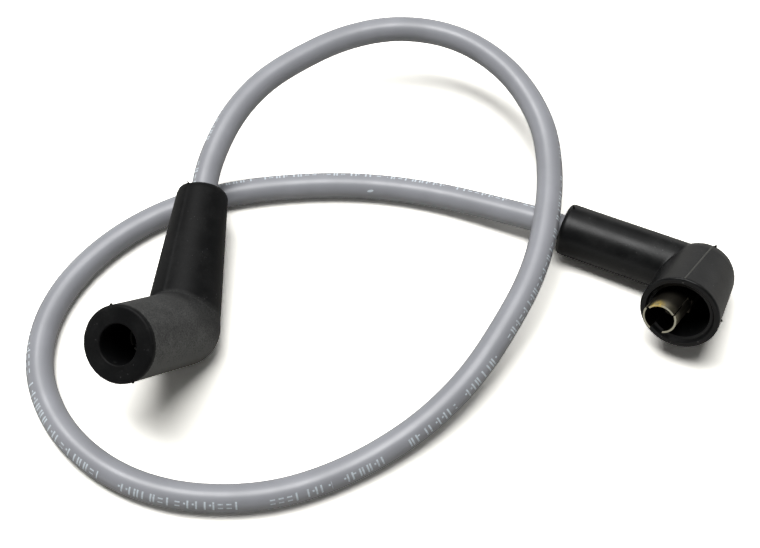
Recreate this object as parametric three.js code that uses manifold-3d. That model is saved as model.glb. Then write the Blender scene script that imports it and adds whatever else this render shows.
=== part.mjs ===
// Spark plug wire: an ignition lead with a moulded rubber boot and a sheet-metal terminal on each end.
// Millimetres, +Z up. The lead lies on the plane z = 0, with the origin under the middle of the two boots.
import * as THREE from "three";
import { mergeVertices } from "three/addons/utils/BufferGeometryUtils.js";
import Module from "manifold-3d";

const wasm = await Module();
wasm.setup();

// Fits
const slipGap = 0.3; // between a piece and what it slides over or into
const cutOverrun = 1; // how far a cutting solid runs past the face that it opens

// Fineness of the round surfaces
const lathePieces = 32;
const roundPieces = 5;
const cableSides = 10;
const cableSteps = 50;
const weldDistance = 1e-4; // corners closer than this are one corner

// Cable, from the outside in
const cableDiameter = 7;
const jacketWall = 0.8;
const insulationWall = 1.1;
const jacketRadius = cableDiameter / 2;
const insulationRadius = jacketRadius - jacketWall - slipGap;
const coreRadius = insulationRadius - insulationWall - slipGap;
const insulationBared = 1.5; // insulation that shows past the cut end of the jacket
const coreBared = 1.5; // conductor that shows past the cut end of the insulation

// Terminals, both folded from sheet
const sheetThickness = 0.5;
const crimpLength = 7;
const crimpSeam = 0.8;
const crimpHold = 5; // jacket inside the crimp
const crimpInside = jacketRadius + slipGap;
const crimpOutside = crimpInside + sheetThickness;
const strapWidth = 4;
const strapBend = 2.5;
const strapLine = crimpInside + sheetThickness / 2; // the strap's middle line runs in the crimp's wall
const strapRoot = 2; // strap that overlaps the crimp and the barrel that it joins
const crimpRoomRadius = Math.hypot(crimpOutside, strapWidth / 2) + slipGap; // inside a boot's sleeve
const crimpRoomBevel = 1.8; // off the corner of the room's closed end, clear of the strap's bend

// Spark plug boot: a tapered sleeve on the cable, an elbow, and a thick arm that grips the plug's insulator
const plugBoot = {
  elbow: [-62.4, -7.6],
  heading: 85.6, // degrees from +X, seen from above, of the way from the elbow to the cable
  pitch: 6.8, // degrees that the sleeve rises towards the cable
  roll: -19.3, // degrees that the arm leans over sideways
  angle: 120, // degrees between the sleeve and the arm
  sleeveLength: 40,
  sleeveEndRadius: 6.8,
  sleeveRootRadius: 9.7,
  sleeveRound: 2,
  elbowRadius: 9.8,
  elbowDepth: 9.8,
  elbowShift: 0, // from the crossing of the two axes to the widest part of the elbow, along the arm
  armLength: 30.8,
  armMouthRadius: 9.4,
  armRound: 0.5,
  crimpAt: 10,
};
const plugSocket = {
  lipRadius: 4.95,
  lipChamfer: 0.2,
  lipDepth: 1.6,
  gripRadius: 5.3, // round the plug's insulator
  roomDepth: 11.5, // from the mouth to where the room for the terminal starts
};
const plugPad = {
  height: 0.5,
  start: 6.5, // from the elbow, along the sleeve
  from: 8, // degrees round the sleeve, from its inner side
  to: 150,
};
const plugBarrel = {
  radius: 3.9,
  length: 12,
  below: 12, // from the mouth of the boot down to the mouth of the barrel
  angle: plugBoot.angle, // degrees between the sleeve and the barrel
  offset: 0, // from the elbow, towards the sleeve
  baseRound: 0, // none: the barrel is rolled, and open at both ends
  slotDepth: 7,
  slots: [
    { angle: 120, width: 0.8 },
    { angle: 240, width: 0.8 },
  ],
};
const barrelSeam = 1;
const springWire = 0.8;
const springWireSides = 8;
const springOpening = 70; // degrees left open in the ring
const springBelow = 3; // from the mouth of the barrel down to the middle of the wire

// Distributor boot: a plain sleeve on the cable and a domed cup that covers the cap's tower
const capBoot = {
  elbow: [72.8, 9.1],
  heading: 155,
  roll: -68,
  angle: 86.5,
  sleeveLength: 38.2,
  sleeveEndRadius: 7.1,
  sleeveRootRadius: 7.1,
  sleeveRound: 1.5,
  elbowRadius: 9.2,
  elbowDepth: 9.1, // the dome is a little flatter than a ball
  elbowShift: 1.4,
  armLength: 19.8,
  armMouthRadius: 10.2,
  armRound: 0.4,
  crimpAt: 9,
};
const capCup = {
  mouthRadius: 8.7,
  throatRadius: 7.5,
  stepDepth: 0.9,
  depth: 12,
  wellRadius: 5.6, // round the terminal's strap, under the cup
};
const capBarrel = {
  radius: 4.25,
  length: 12,
  below: -5.1, // the barrel stands proud of the cup
  angle: 80, // it leans over towards the sleeve, inside the cup
  offset: 0.75,
  baseRound: 2, // the barrel is drawn, with a closed base
  slotDepth: 9,
  slots: [
    { angle: 92, width: 3 },
    { angle: -23, width: 0.8 },
    { angle: -138, width: 0.8 },
  ],
};

// The free cable, from the spark plug boot round the loop and under itself to the distributor boot
const straightRun = 6; // past each sleeve
const cableRoute = [
  [-53.4, 54.7, 17.4],
  [-44.9, 67.2, 18.6],
  [-34.9, 75.2, 19.4],
  [-21.9, 82.7, 20],
  [-6.4, 86.2, 20.3],
  [10.6, 82.7, 20],
  [24.6, 71.2, 19],
  [33.1, 54.2, 17.3],
  [34.6, 38.7, 15.6],
  [32.6, 22.7, 14.2],
  [28.1, 7.2, 12.6],
  [20.1, -7.8, 10.6],
  [11.1, -20.8, 8],
  [1.1, -30.8, 5.8],
  [-9.4, -38.3, 4.2],
  [-21.4, -44.8, 3.5],
  [-35.4, -49.8, 3.5],
  [-49.4, -51.3, 3.5],
  [-63.9, -49.8, 3.5],
  [-77.9, -44.3, 3.5],
  [-90.9, -33.3, 3.5],
  [-98.9, -17.8, 3.5],
  [-99.4, -2.8, 3.5],
  [-94.4, 10.7, 3.5],
  [-83.9, 23.7, 3.5],
  [-70.4, 33.2, 3.5],
  [-55.4, 38.7, 3.5],
  [-36.9, 41.7, 3.5],
  [-20.4, 42.2, 3.5],
  [-5.9, 40.7, 3.6],
  [8.1, 37.2, 4.4],
  [21.6, 32.2, 5.7],
];

// Finishes
const blackRubber = new THREE.MeshStandardMaterial({ color: 0x2c2d2f, roughness: 0.75, metalness: 0 });
const greySilicone = new THREE.MeshStandardMaterial({ color: 0xa9aab2, roughness: 0.5, metalness: 0 });
const paleInsulation = new THREE.MeshStandardMaterial({ color: 0xd8d4c8, roughness: 0.6, metalness: 0 });
const carbonYarn = new THREE.MeshStandardMaterial({ color: 0x1d1d1f, roughness: 0.8, metalness: 0 });
const platedSteel = new THREE.MeshStandardMaterial({ color: 0xb4b2aa, roughness: 0.35, metalness: 1 });
const tarnishedBrass = new THREE.MeshStandardMaterial({ color: 0xb09a62, roughness: 0.4, metalness: 1 });

const degrees = Math.PI / 180;

// A closed geometry as a solid that can be joined and cut.
function solid(geometry) {
  const bare = geometry.index ? geometry.toNonIndexed() : geometry.clone();
  bare.deleteAttribute("normal");
  bare.deleteAttribute("uv");
  const merged = mergeVertices(bare, weldDistance);
  const mesh = new wasm.Mesh({
    numProp: 3,
    vertProperties: merged.attributes.position.array,
    triVerts: new Uint32Array(merged.index.array),
  });
  return new wasm.Manifold(mesh);
}

// A solid as a mesh with a name and a finish.
function mesh(name, body, material) {
  const made = body.getMesh();
  const geometry = new THREE.BufferGeometry();
  geometry.setAttribute("position", new THREE.BufferAttribute(made.vertProperties, 3));
  geometry.setIndex(new THREE.BufferAttribute(made.triVerts, 1));
  const facets = geometry.toNonIndexed();
  facets.computeVertexNormals();
  const piece = new THREE.Mesh(facets, material);
  piece.name = name;
  return piece;
}

// Points of a quarter round between two straight stretches of a profile.
function quarterRound(centreRadius, centreAlong, round, fromAngle, toAngle) {
  const points = [];
  for (let i = 0; i <= roundPieces; i += 1) {
    const angle = (fromAngle + ((toAngle - fromAngle) * i) / roundPieces) * degrees;
    points.push([centreRadius + round * Math.cos(angle), centreAlong + round * Math.sin(angle)]);
  }
  return points;
}

// A round body about the axis that leaves the elbow at an angle from the sleeve, in the plane of the bend.
// Its profile is a list of [radius, distance from the elbow], and starts and ends on the axis.
function turned(profile, angle, offset = 0) {
  const points = profile.map(([radius, along]) => new THREE.Vector2(radius, along));
  const geometry = new THREE.LatheGeometry(points, lathePieces);
  geometry.rotateX(Math.PI / 2);
  geometry.rotateY(Math.PI / 2 - angle * degrees);
  geometry.translate(offset, 0, 0);
  return solid(geometry);
}

// A flat outline stood on the same axis, from one distance from the elbow to another.
function extruded(shape, from, to, angle, offset = 0) {
  const geometry = new THREE.ExtrudeGeometry(shape, {
    depth: to - from,
    bevelEnabled: false,
    curveSegments: lathePieces,
  });
  geometry.translate(0, 0, from);
  geometry.rotateY(Math.PI / 2 - angle * degrees);
  geometry.translate(offset, 0, 0);
  return solid(geometry);
}

// The rubber outside of a boot: sleeve, elbow and arm in one.
function bootOutside(boot) {
  const sleeve = turned(
    [
      [0, 0],
      [boot.sleeveRootRadius, 0],
      ...quarterRound(
        boot.sleeveEndRadius - boot.sleeveRound,
        boot.sleeveLength - boot.sleeveRound,
        boot.sleeveRound,
        0,
        90,
      ),
      [0, boot.sleeveLength],
    ],
    0,
  );
  const back = [];
  const backPieces = 2 * roundPieces;
  for (let i = 0; i <= backPieces; i += 1) {
    const angle = (-90 + (90 * i) / backPieces) * degrees;
    back.push([
      boot.elbowRadius * Math.cos(angle),
      boot.elbowShift + boot.elbowDepth * Math.sin(angle),
    ]);
  }
  back[0][0] = 0;
  const arm = turned(
    [
      ...back,
      ...quarterRound(
        boot.armMouthRadius - boot.armRound,
        boot.armLength - boot.armRound,
        boot.armRound,
        0,
        90,
      ),
      [0, boot.armLength],
    ],
    boot.angle,
  );
  return sleeve.add(arm);
}

// The room inside a sleeve: wide round the crimp, and a bore that fits the cable from there to the end.
function sleeveRoom(boot) {
  const roomEnd = boot.crimpAt + crimpLength + slipGap;
  const boreRadius = jacketRadius + slipGap;
  return turned(
    [
      [0, -crimpRoomRadius],
      [crimpRoomRadius - crimpRoomBevel, -crimpRoomRadius],
      [crimpRoomRadius, crimpRoomBevel - crimpRoomRadius],
      [crimpRoomRadius, roomEnd],
      [boreRadius, roomEnd + crimpRoomRadius - boreRadius],
      [boreRadius, boot.sleeveLength + cutOverrun],
      [0, boot.sleeveLength + cutOverrun],
    ],
    0,
  );
}

// The raised pad along one flank of the spark plug boot's sleeve.
function flankPad() {
  const grown = turned(
    [
      [0, 0],
      [plugBoot.sleeveRootRadius + plugPad.height, 0],
      ...quarterRound(
        plugBoot.sleeveEndRadius + plugPad.height - plugBoot.sleeveRound,
        plugBoot.sleeveLength - plugBoot.sleeveRound,
        plugBoot.sleeveRound,
        0,
        90,
      ),
      [0, plugBoot.sleeveLength],
    ],
    0,
  );
  const reach = 2 * plugBoot.sleeveRootRadius;
  const wedge = new THREE.Shape();
  wedge.moveTo(0, 0);
  const steps = 6;
  for (let i = 0; i <= steps; i += 1) {
    const angle = (plugPad.from + ((plugPad.to - plugPad.from) * i) / steps) * degrees;
    wedge.lineTo(-reach * Math.cos(angle), reach * Math.sin(angle));
  }
  return grown.intersect(extruded(wedge, plugPad.start, plugBoot.sleeveLength, 0));
}

function plugBootSolid() {
  const mouth = plugBoot.armLength;
  const lip = plugSocket.lipRadius;
  const roomRadius = plugBarrel.radius + springWire + 2 * slipGap;
  const socket = turned(
    [
      [0, -roomRadius / 2],
      [roomRadius, -roomRadius / 2],
      [roomRadius, mouth - plugSocket.roomDepth],
      [plugSocket.gripRadius, mouth - plugSocket.roomDepth + slipGap],
      [plugSocket.gripRadius, mouth - plugSocket.lipDepth],
      [lip, mouth - plugSocket.lipDepth + slipGap],
      [lip, mouth - plugSocket.lipChamfer],
      [lip + plugSocket.lipChamfer, mouth],
      [lip + plugSocket.lipChamfer, mouth + cutOverrun],
      [0, mouth + cutOverrun],
    ],
    plugBoot.angle,
  );
  return bootOutside(plugBoot).add(flankPad()).subtract(sleeveRoom(plugBoot)).subtract(socket);
}

function capBootSolid() {
  const mouth = capBoot.armLength;
  const cup = turned(
    [
      [0, 0],
      [capCup.wellRadius, 0],
      [capCup.wellRadius, mouth - capCup.depth - capCup.throatRadius + capCup.wellRadius],
      [capCup.throatRadius, mouth - capCup.depth],
      [capCup.throatRadius, mouth - capCup.stepDepth],
      [capCup.mouthRadius, mouth],
      [capCup.mouthRadius, mouth + cutOverrun],
      [0, mouth + cutOverrun],
    ],
    capBoot.angle,
  );
  return bootOutside(capBoot).subtract(sleeveRoom(capBoot)).subtract(cup);
}

// The outline of a rolled sheet seen from its end: a ring that is open along one seam.
function rolledSheet(outside, seam, seamAngle) {
  const inside = outside - sheetThickness;
  const outerHalf = Math.asin(seam / 2 / outside);
  const innerHalf = Math.asin(seam / 2 / inside);
  const middle = seamAngle * degrees;
  const shape = new THREE.Shape();
  shape.absarc(0, 0, outside, middle + outerHalf, middle - outerHalf + 2 * Math.PI, false);
  shape.absarc(0, 0, inside, middle - innerHalf + 2 * Math.PI, middle + innerHalf, true);
  return shape;
}

// The strap that carries a terminal round the outside of its bend, from barrel wall to crimp wall.
function strap(boot, barrel) {
  const angle = barrel.angle * degrees;
  const along = new THREE.Vector2(Math.cos(angle), Math.sin(angle));
  const outward = new THREE.Vector2(-Math.sin(angle), Math.cos(angle));
  const wallLine = barrel.radius - sheetThickness / 2;
  const onAxis = (distance) =>
    new THREE.Vector2(barrel.offset, 0)
      .addScaledVector(along, distance)
      .addScaledVector(outward, wallLine);
  const barrelFoot = boot.armLength - barrel.below - barrel.length;
  const start = onAxis(barrelFoot + strapRoot);
  const reach = (-strapLine - onAxis(0).y) / along.y;
  const corner = onAxis(reach);
  const end = new THREE.Vector2(boot.crimpAt + strapRoot, -strapLine);
  const path = new THREE.Path();
  path.moveTo(start.x, start.y);
  path.lineTo(corner.x + along.x * strapBend, corner.y + along.y * strapBend);
  path.quadraticCurveTo(corner.x, corner.y, corner.x + strapBend, corner.y);
  path.lineTo(end.x, end.y);
  const middle = path.getPoints(2 * roundPieces);
  const sides = middle.map((point, i) => {
    const before = middle[Math.max(i - 1, 0)];
    const after = middle[Math.min(i + 1, middle.length - 1)];
    const normal = after.clone().sub(before).normalize().rotateAround(new THREE.Vector2(), Math.PI / 2);
    return [
      point.clone().addScaledVector(normal, sheetThickness / 2),
      point.clone().addScaledVector(normal, -sheetThickness / 2),
    ];
  });
  const outline = [...sides.map((side) => side[0]), ...sides.reverse().map((side) => side[1])];
  const geometry = new THREE.ExtrudeGeometry(new THREE.Shape(outline), {
    depth: strapWidth,
    bevelEnabled: false,
  });
  geometry.translate(0, 0, -strapWidth / 2);
  geometry.rotateX(Math.PI / 2);
  return solid(geometry);
}

// A barrel rolled from sheet and open at both ends.
function rolledBarrel(boot, barrel) {
  const top = boot.armLength - barrel.below;
  const base = top - barrel.length;
  return extruded(rolledSheet(barrel.radius, barrelSeam, 0), base, top, barrel.angle, barrel.offset);
}

// A barrel drawn from sheet, with a closed and rounded base.
function drawnBarrel(boot, barrel) {
  const top = boot.armLength - barrel.below;
  const base = top - barrel.length;
  const roundCentre = [barrel.radius - barrel.baseRound, base + barrel.baseRound];
  const outer = quarterRound(...roundCentre, barrel.baseRound, -90, 0);
  const inner = quarterRound(...roundCentre, barrel.baseRound - sheetThickness, 0, -90);
  const profile = [
    [0, base],
    ...outer,
    [barrel.radius, top],
    [barrel.radius - sheetThickness, top],
    ...inner,
    [0, base + sheetThickness],
  ];
  return turned(profile, barrel.angle, barrel.offset);
}

// A terminal: a crimp on the cable, a strap round the bend and a slotted barrel.
function terminalSolid(boot, barrel) {
  const barrelTop = boot.armLength - barrel.below;
  const crimp = extruded(
    rolledSheet(crimpOutside, crimpSeam, 180),
    boot.crimpAt,
    boot.crimpAt + crimpLength,
    0,
  );
  const tube = barrel.baseRound > 0 ? drawnBarrel(boot, barrel) : rolledBarrel(boot, barrel);
  let body = crimp.add(strap(boot, barrel)).add(tube);
  for (const { angle, width } of barrel.slots) {
    const reach = barrel.radius + cutOverrun;
    const corners = [
      [0, -width / 2],
      [reach, -width / 2],
      [reach, width / 2],
      [0, width / 2],
    ];
    const outline = corners.map(([x, y]) =>
      new THREE.Vector2(x, y).rotateAround(new THREE.Vector2(), angle * degrees),
    );
    const slot = extruded(
      new THREE.Shape(outline),
      barrelTop - barrel.slotDepth,
      barrelTop + cutOverrun,
      barrel.angle,
      barrel.offset,
    );
    body = body.subtract(slot);
  }
  return body;
}

// The spring ring that clips over the spark plug terminal's barrel.
function springSolid() {
  const ringRadius = plugBarrel.radius + slipGap + springWire / 2;
  const half = (springOpening / 2) * degrees;
  const turns = 16;
  const points = [];
  for (let i = 0; i <= turns; i += 1) {
    const angle = half + ((2 * Math.PI - 2 * half) * i) / turns;
    points.push(new THREE.Vector3(ringRadius * Math.cos(angle), ringRadius * Math.sin(angle), 0));
  }
  const section = new THREE.Shape();
  section.absarc(0, 0, springWire / 2, 0, 2 * Math.PI);
  const geometry = new THREE.ExtrudeGeometry(section, {
    steps: 2 * turns,
    curveSegments: springWireSides,
    extrudePath: new THREE.CatmullRomCurve3(points),
  });
  geometry.translate(0, 0, plugBoot.armLength - plugBarrel.below - springBelow);
  geometry.rotateY(Math.PI / 2 - plugBarrel.angle * degrees);
  return solid(geometry);
}

// A boot's group puts its elbow at rest on the ground, with its sleeve and arm turned as they lie.
function placed(boot, elbowHeight, pitch, pieces) {
  const group = new THREE.Group();
  group.rotation.set(boot.roll * degrees, -pitch, boot.heading * degrees, "ZYX");
  group.position.set(boot.elbow[0], boot.elbow[1], elbowHeight);
  group.add(...pieces);
  group.updateMatrixWorld(true);
  return group;
}

// How high the distributor boot's elbow stands when its dome and its sleeve's end both touch the ground.
function capBootRest() {
  let height = capBoot.elbowRadius;
  let pitch = 0;
  const angle = capBoot.angle * degrees;
  const rounds = 4;
  for (let i = 0; i < rounds; i += 1) {
    pitch = -Math.asin((height - capBoot.sleeveEndRadius) / capBoot.sleeveLength);
    const armRise =
      Math.cos(angle) * Math.sin(pitch) +
      Math.sin(angle) * Math.cos(pitch) * Math.cos(capBoot.roll * degrees);
    const domeReach = Math.hypot(
      capBoot.elbowRadius * Math.sqrt(1 - armRise * armRise),
      capBoot.elbowDepth * armRise,
    );
    height = domeReach - capBoot.elbowShift * armRise;
  }
  return { height, pitch };
}

const plugEnd = placed(plugBoot, plugBoot.elbowRadius, plugBoot.pitch * degrees, [
  mesh("plug_boot", plugBootSolid(), blackRubber),
  mesh("plug_terminal", terminalSolid(plugBoot, plugBarrel), platedSteel),
  mesh("plug_terminal_spring", springSolid(), platedSteel),
]);
const capRest = capBootRest();
const capEnd = placed(capBoot, capRest.height, capRest.pitch, [
  mesh("distributor_boot", capBootSolid(), blackRubber),
  mesh("distributor_terminal", terminalSolid(capBoot, capBarrel), tarnishedBrass),
]);

// The cable's middle line: along one sleeve's axis, round the free route and back along the other axis.
function cableLine(bared) {
  const onSleeve = (group, distance) => new THREE.Vector3(distance, 0, 0).applyMatrix4(group.matrixWorld);
  const cutEnd = (boot) => boot.crimpAt + crimpLength - crimpHold - bared;
  const points = [
    onSleeve(plugEnd, cutEnd(plugBoot)),
    onSleeve(plugEnd, plugBoot.sleeveLength),
    onSleeve(plugEnd, plugBoot.sleeveLength + straightRun),
    ...cableRoute.map((point) => new THREE.Vector3(...point)),
    onSleeve(capEnd, capBoot.sleeveLength + straightRun),
    onSleeve(capEnd, capBoot.sleeveLength),
    onSleeve(capEnd, cutEnd(capBoot)),
  ];
  return new THREE.CatmullRomCurve3(points, false, "centripetal");
}

// One layer of the cable: a tube, or a rod where it has no inner radius.
function cableLayer(name, outer, inner, bared, material) {
  const ring = (radius) => {
    const points = [];
    for (let i = 0; i < cableSides; i += 1) {
      const angle = (2 * Math.PI * i) / cableSides;
      points.push(new THREE.Vector2(radius * Math.cos(angle), radius * Math.sin(angle)));
    }
    return points;
  };
  const section = new THREE.Shape(ring(outer));
  if (inner > 0) section.holes.push(new THREE.Path(ring(inner).reverse()));
  const geometry = new THREE.ExtrudeGeometry(section, {
    steps: cableSteps,
    extrudePath: cableLine(bared),
  });
  return mesh(name, solid(geometry), material);
}

const lead = new THREE.Group();
lead.add(plugEnd, capEnd);
lead.add(
  cableLayer("cable_jacket", jacketRadius, jacketRadius - jacketWall, 0, greySilicone),
  cableLayer(
    "cable_insulation",
    insulationRadius,
    insulationRadius - insulationWall,
    insulationBared,
    paleInsulation,
  ),
  cableLayer("conductor_core", coreRadius, 0, insulationBared + coreBared, carbonYarn),
);

export default lead;
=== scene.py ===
"""Spark plug wire: a grey silicone ignition lead in a loose loop.

It has a black rubber boot and a metal terminal on each end.
"""

import math

import bmesh
import bpy
from mathutils import Matrix, Vector


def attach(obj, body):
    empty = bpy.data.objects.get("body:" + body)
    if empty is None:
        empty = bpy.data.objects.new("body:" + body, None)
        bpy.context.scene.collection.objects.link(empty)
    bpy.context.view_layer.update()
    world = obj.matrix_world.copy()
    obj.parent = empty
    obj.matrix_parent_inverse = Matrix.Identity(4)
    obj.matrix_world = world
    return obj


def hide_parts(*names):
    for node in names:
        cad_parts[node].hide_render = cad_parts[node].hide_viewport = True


bl_info = {
    "name": "Spark plug wire",
    "version": (1, 0, 0),
    "blender": (4, 5, 0),
    "location": "3D View > Sidebar > Lead",
    "description": "Builds an ignition lead in a loose loop, with its boots and terminals",
    "category": "Add Mesh",
}

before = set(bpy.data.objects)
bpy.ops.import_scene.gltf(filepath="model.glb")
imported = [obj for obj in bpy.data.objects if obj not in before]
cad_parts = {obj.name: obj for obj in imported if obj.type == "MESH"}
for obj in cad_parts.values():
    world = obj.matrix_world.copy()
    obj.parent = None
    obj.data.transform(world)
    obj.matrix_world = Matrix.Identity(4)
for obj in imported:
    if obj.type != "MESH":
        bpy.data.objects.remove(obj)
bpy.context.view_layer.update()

MM = 0.001
UP = Vector((0, 0, 1))

# The route of the free cable in metres: from the spark plug boot, round the loop and under itself
CABLE_ROUTE = [
    (-0.0534, 0.0547, 0.0174),
    (-0.0449, 0.0672, 0.0186),
    (-0.0349, 0.0752, 0.0194),
    (-0.0219, 0.0827, 0.02),
    (-0.0064, 0.0862, 0.0203),
    (0.0106, 0.0827, 0.02),
    (0.0246, 0.0712, 0.019),
    (0.0331, 0.0542, 0.0173),
    (0.0346, 0.0387, 0.0156),
    (0.0326, 0.0227, 0.0142),
    (0.0281, 0.0072, 0.0126),
    (0.0201, -0.0078, 0.0106),
    (0.0111, -0.0208, 0.008),
    (0.0011, -0.0308, 0.0058),
    (-0.0094, -0.0383, 0.0042),
    (-0.0214, -0.0448, 0.0035),
    (-0.0354, -0.0498, 0.0035),
    (-0.0494, -0.0513, 0.0035),
    (-0.0639, -0.0498, 0.0035),
    (-0.0779, -0.0443, 0.0035),
    (-0.0909, -0.0333, 0.0035),
    (-0.0989, -0.0178, 0.0035),
    (-0.0994, -0.0028, 0.0035),
    (-0.0944, 0.0107, 0.0035),
    (-0.0839, 0.0237, 0.0035),
    (-0.0704, 0.0332, 0.0035),
    (-0.0554, 0.0387, 0.0035),
    (-0.0369, 0.0417, 0.0035),
    (-0.0204, 0.0422, 0.0035),
    (-0.0059, 0.0407, 0.0036),
    (0.0081, 0.0372, 0.0044),
    (0.0216, 0.0322, 0.0057),
]
LINE_STEP = 0.001  # metres between the points of the cable's middle line
LINE_ROUNDS = 30  # of smoothing

# Sizes of the cable's ends and of the boots, in millimetres and degrees, as in the solids
STRAIGHT_RUN = 6  # of cable past each sleeve
CUT_END = 5  # of jacket inside each crimp
CRIMP_LENGTH = 7
CRIMP_INSIDE, CRIMP_OUTSIDE = 3.8, 4.3  # radii
CRIMP_WALL = 4.05  # how far the strap lies from the sleeve's axis
CRIMP_ROOM_START, CRIMP_ROOM_RADIUS = -4.5, 4.9
CABLE_BORE = 3.6  # radius

PLUG_BOOT = {
    "elbow": (-62.4, -7.6, 9.8),
    "heading": 85.6,
    "pitch": 6.8,
    "roll": -19.3,
    "angle": 120,
    "sleeve_length": 40,
    "sleeve_end": 6.8,
    "sleeve_root": 9.7,
    "sleeve_round": 2,
    "elbow_radius": 9.8,
    "elbow_depth": 9.8,
    "elbow_shift": 0,
    "arm_length": 30.8,
    "arm_mouth": 9.4,
    "arm_round": 0.5,
    "crimp_at": 10,
}
CAP_BOOT = {
    "elbow": (72.8, 9.1, 8.667),
    "heading": 155,
    "pitch": -2.35,
    "roll": -68,
    "angle": 86.5,
    "sleeve_length": 38.2,
    "sleeve_end": 7.1,
    "sleeve_root": 7.1,
    "sleeve_round": 1.5,
    "elbow_radius": 9.2,
    "elbow_depth": 9.1,
    "elbow_shift": 1.4,
    "arm_length": 19.8,
    "arm_mouth": 10.2,
    "arm_round": 0.4,
    "crimp_at": 9,
}


def boot_matrix(boot):
    """The boot's own frame: origin at the elbow and +X along the sleeve to the cable.

    The arm lies in its XZ plane.
    """
    turn = (
        Matrix.Rotation(math.radians(boot["heading"]), 4, "Z")
        @ Matrix.Rotation(math.radians(-boot["pitch"]), 4, "Y")
        @ Matrix.Rotation(math.radians(boot["roll"]), 4, "X")
    )
    return Matrix.Translation(Vector(boot["elbow"]) * MM) @ turn


def axis_matrix(angle, offset=0.0):
    """Turns local +Z onto the axis that leaves the elbow at an angle from the sleeve."""
    turn = Matrix.Rotation(math.radians(90 - angle), 4, "Y")
    return Matrix.Translation((offset * MM, 0, 0)) @ turn


def lathe(bm, profile, matrix, segments=160, sweep=360.0, start=0.0):
    """Spins a profile of (radius, distance) round local Z and adds it to bm.

    A sweep short of a full turn takes a closed profile and is closed at both ends.
    """
    made = bmesh.new()
    verts = [made.verts.new((r * MM, 0, z * MM)) for r, z in profile]
    closed = sweep < 360.0
    pairs = list(zip(verts, verts[1:]))
    if closed:
        pairs.append((verts[-1], verts[0]))
    edges = [made.edges.new(pair) for pair in pairs]
    if closed:
        made.faces.new(verts)
    turn = Matrix.Rotation(math.radians(start), 3, "Z")
    bmesh.ops.rotate(made, verts=made.verts, matrix=turn)
    bmesh.ops.spin(
        made,
        geom=verts + edges + list(made.faces),
        cent=(0, 0, 0),
        axis=(0, 0, 1),
        angle=math.radians(sweep),
        steps=segments,
        use_merge=not closed,
        use_duplicate=False,
    )
    bmesh.ops.remove_doubles(made, verts=made.verts, dist=1e-7)
    bmesh.ops.recalc_face_normals(made, faces=made.faces)
    made.transform(matrix)
    part = bpy.data.meshes.new("part")
    made.to_mesh(part)
    made.free()
    bm.from_mesh(part)
    bpy.data.meshes.remove(part)


def arc(centre_r, centre_z, radius, start, end, pieces=10, squeeze=1.0):
    """Profile points on an arc, between two angles from the radial direction."""
    points = []
    for i in range(pieces + 1):
        a = math.radians(start + (end - start) * i / pieces)
        r = centre_r + radius * math.cos(a)
        points.append((r, centre_z + squeeze * radius * math.sin(a)))
    return points


def new_object(name, bm):
    """An object at the origin, with what the bmesh holds as its mesh."""
    mesh = bpy.data.meshes.new(name)
    bm.to_mesh(mesh)
    bm.free()
    obj = bpy.data.objects.new(name, mesh)
    bpy.context.scene.collection.objects.link(obj)
    return obj


def bake_modifiers(obj):
    """Puts what the modifiers make into the object's own mesh."""
    evaluated = obj.evaluated_get(bpy.context.evaluated_depsgraph_get())
    made = bpy.data.meshes.new_from_object(evaluated)
    old = obj.data
    obj.modifiers.clear()
    obj.data = made
    made.name = obj.name
    bpy.data.meshes.remove(old)


def remeshed(obj, voxel, rounds):
    """One closed skin round everything in the object, with its edges softened."""
    skin = obj.modifiers.new("skin", "REMESH")
    skin.mode = "VOXEL"
    skin.voxel_size = voxel * MM
    soften = obj.modifiers.new("soften", "SMOOTH")
    soften.factor = 0.5
    soften.iterations = rounds
    bake_modifiers(obj)


def cut(obj, bm):
    """Takes a closed shape out of the object."""
    cutter = new_object("cutter", bm)
    boolean = obj.modifiers.new("cut", "BOOLEAN")
    boolean.operation = "DIFFERENCE"
    boolean.solver = "EXACT"
    boolean.object = cutter
    bake_modifiers(obj)
    mesh = cutter.data
    bpy.data.objects.remove(cutter)
    bpy.data.meshes.remove(mesh)


def shade(obj, sharp_degrees=40.0):
    """Smooth shading, with the edges that are sharper than the angle kept."""
    obj.data.shade_smooth()
    obj.data.set_sharp_from_angle(angle=math.radians(sharp_degrees))


def new_material(name):
    """A material with no nodes yet, and its node tree."""
    material = bpy.data.materials.new(name)
    material.use_nodes = True
    tree = material.node_tree
    tree.nodes.clear()
    return material, tree


def node(tree, kind, inputs=None, **settings):
    """Adds a node. An input is a value, or the socket that it is linked to."""
    made = tree.nodes.new(kind)
    for key, value in settings.items():
        setattr(made, key, value)
    for key, value in (inputs or {}).items():
        socket = made.inputs[key]
        if isinstance(value, bpy.types.NodeSocket):
            tree.links.new(value, socket)
        else:
            socket.default_value = value
    return made


def maths(tree, operation, a, b=0.0, clamp=False):
    made = node(tree, "ShaderNodeMath", {0: a, 1: b}, operation=operation, use_clamp=clamp)
    return made.outputs[0]


def product(tree, *values):
    result = values[0]
    for value in values[1:]:
        result = maths(tree, "MULTIPLY", result, value)
    return result


def highest(tree, *values):
    result = values[0]
    for value in values[1:]:
        result = maths(tree, "MAXIMUM", result, value)
    return result


def vectors(tree, operation, a, b=(0.0, 0.0, 0.0), output="Vector"):
    made = node(tree, "ShaderNodeVectorMath", {0: a, 1: b}, operation=operation)
    return made.outputs[output]


def mixed(tree, factor, a, b):
    """Colour a where the factor is 0, and colour b where it is 1."""
    made = node(tree, "ShaderNodeMix", {"Factor": factor}, data_type="RGBA")
    for index, value in ((6, a), (7, b)):
        if isinstance(value, bpy.types.NodeSocket):
            tree.links.new(value, made.inputs[index])
        else:
            made.inputs[index].default_value = (*value, 1.0)
    return made.outputs[2]


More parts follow.
